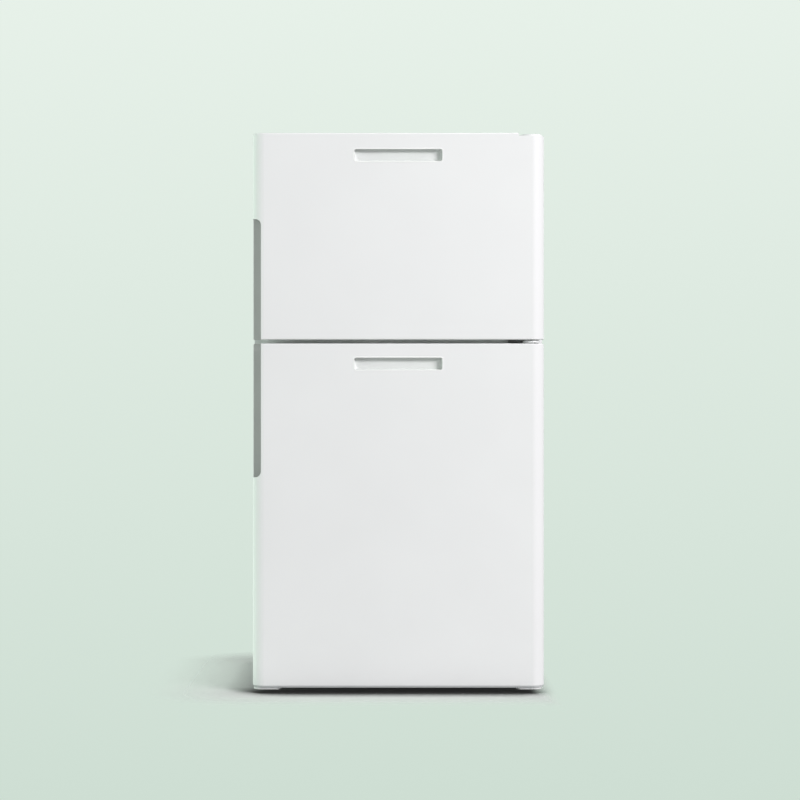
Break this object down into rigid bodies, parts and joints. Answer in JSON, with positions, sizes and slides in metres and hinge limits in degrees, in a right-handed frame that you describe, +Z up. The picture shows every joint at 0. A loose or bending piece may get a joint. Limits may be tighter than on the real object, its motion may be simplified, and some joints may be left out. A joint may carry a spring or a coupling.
{
  "type": "two-door refrigerator",
  "caption": "Upright white refrigerator with a short freezer door over a taller fridge door, recessed pull slots, finger grips in the left edge, shelves, drawers and door racks.",
  "frame": {"origin": "on the floor, in the middle of the footprint", "axes": "+Z up, +X towards the hinge side on the right, -Y out of the door fronts"},
  "size_m": [0.6, 0.61, 1.15],
  "materials": {
    "white_enamel": "white stoving enamel on sheet steel, semi-gloss",
    "zinc_steel": "galvanised sheet steel",
    "screw_steel": "zinc plated",
    "foam": "rigid insulating foam",
    "white_liner": "white vacuum-formed polystyrene",
    "white_plastic": "white moulded plastic",
    "grey_plastic": "grey moulded plastic",
    "white_laminate": "white laminated board",
    "gasket_pvc": "soft white magnetic gasket",
    "clear_plastic": "clear moulded plastic",
    "shelf_glass": "toughened glass",
    "lamp_diffuser": "frosted lamp cover",
    "black_paint": "black paint",
    "rubber": "moulded rubber",
    "black_plastic": "black moulded plastic",
    "copper": "bare copper",
    "aluminium": "bare aluminium fins",
    "zinc_cover": "grey painted sheet"
  },
  "bodies": {
    "cabinet": {"outer_shell": "white_enamel", "back_panel": "zinc_steel", "base_pan": "zinc_steel", "cabinet_foam": "foam", "freezer_liner": "white_liner", "fridge_liner": "white_liner", "centre_rail": "white_enamel", "top_table": "white_laminate", "upper_hinge": "white_enamel", "upper_hinge_cover": "white_plastic", "middle_hinge": "white_enamel", "lower_hinge": "white_enamel", "left_foot_bracket": "white_enamel", "screws": "screw_steel", "compressor": "black_paint", "compressor_mounts": "rubber", "relay_box": "black_plastic", "condenser_coil": "black_paint", "copper_pipes": "copper", "filter_drier": "copper", "drip_tray": "black_plastic", "machine_cover": "zinc_cover", "rear_bumpers": "black_plastic", "cord_gland": "black_plastic", "evaporator": "aluminium", "duct_cover": "white_plastic", "fan_motor": "black_plastic", "control_box": "white_plastic", "lamp_lens": "lamp_diffuser", "switch_housing": "white_plastic", "glass_shelves": "shelf_glass", "shelf_trims": "white_plastic", "freezer_shelf": "white_plastic", "roller_brackets": "zinc_steel"},
    "upper_door": {"upper_door_skin": "white_enamel", "upper_door_end_caps": "white_plastic", "upper_door_foam": "foam", "upper_door_liner": "white_liner", "upper_door_gasket": "gasket_pvc", "upper_handle_cup": "white_plastic", "upper_side_grip": "white_plastic", "upper_door_pocket": "clear_plastic"},
    "lower_door": {"lower_door_skin": "white_enamel", "lower_door_end_caps": "grey_plastic", "lower_door_foam": "foam", "lower_door_liner": "white_liner", "lower_door_gasket": "gasket_pvc", "lower_handle_cup": "white_plastic", "lower_side_grip": "white_plastic", "lower_door_pockets": "clear_plastic", "bottle_rack": "clear_plastic"},
    "left_roller": {"left_roller": "black_plastic"},
    "right_roller": {"right_roller": "black_plastic"},
    "left_foot": {"left_foot": "black_plastic"},
    "right_foot": {"right_foot": "black_plastic"},
    "fan": {"fan": "black_plastic"},
    "temperature_dial": {"temperature_dial": "white_plastic"},
    "switch_plunger": {"switch_plunger": "white_plastic"},
    "crisper_drawer": {"crisper_drawer": "clear_plastic"},
    "freezer_drawer": {"freezer_drawer": "clear_plastic"}
  },
  "joints": [
    {"name": "upper_door_hinge", "type": "hinge", "parent": "cabinet", "child": "upper_door", "pos_m": [0.274, -0.279, 0.938], "axis": [0, 0, 1], "range_deg": [0, 125]},
    {"name": "lower_door_hinge", "type": "hinge", "parent": "cabinet", "child": "lower_door", "pos_m": [0.274, -0.279, 0.367], "axis": [0, 0, 1], "range_deg": [0, 125]},
    {"name": "crisper_slide", "type": "slide", "parent": "cabinet", "child": "crisper_drawer", "axis": [0, -1, 0], "range_m": [0, 0.14]},
    {"name": "freezer_drawer_slide", "type": "slide", "parent": "cabinet", "child": "freezer_drawer", "axis": [0, -1, 0], "range_m": [0, 0.12]},
    {"name": "switch_press", "type": "slide", "parent": "cabinet", "child": "switch_plunger", "axis": [0, -1, 0], "range_m": [0, 0.006]},
    {"name": "dial_turn", "type": "hinge", "parent": "cabinet", "child": "temperature_dial", "pos_m": [0.045, 0.15, 0.664], "axis": [0, -1, 0], "range_deg": [0, 270]},
    {"name": "fan_spin", "type": "hinge", "parent": "cabinet", "child": "fan", "pos_m": [0, 0.21, 0.986], "axis": [0, 1, 0], "continuous": true},
    {"name": "left_roller_spin", "type": "hinge", "parent": "cabinet", "child": "left_roller", "pos_m": [-0.262, 0.27, 0.009], "axis": [1, 0, 0], "continuous": true},
    {"name": "right_roller_spin", "type": "hinge", "parent": "cabinet", "child": "right_roller", "pos_m": [0.262, 0.27, 0.009], "axis": [1, 0, 0], "continuous": true},
    {"name": "left_foot_raise", "type": "slide", "parent": "cabinet", "child": "left_foot", "axis": [0, 0, -1], "range_m": [0, 0.01]},
    {"name": "right_foot_raise", "type": "slide", "parent": "cabinet", "child": "right_foot", "axis": [0, 0, -1], "range_m": [0, 0.01]}
  ],
  "couplings": [
    {"joint": "crisper_slide", "follows": "lower_door_hinge", "m_per_rad": 0.0641},
    {"joint": "freezer_drawer_slide", "follows": "upper_door_hinge", "m_per_rad": 0.0549},
    {"joint": "switch_press", "follows": "lower_door_hinge", "m_per_rad": 0.00274}
  ]
}
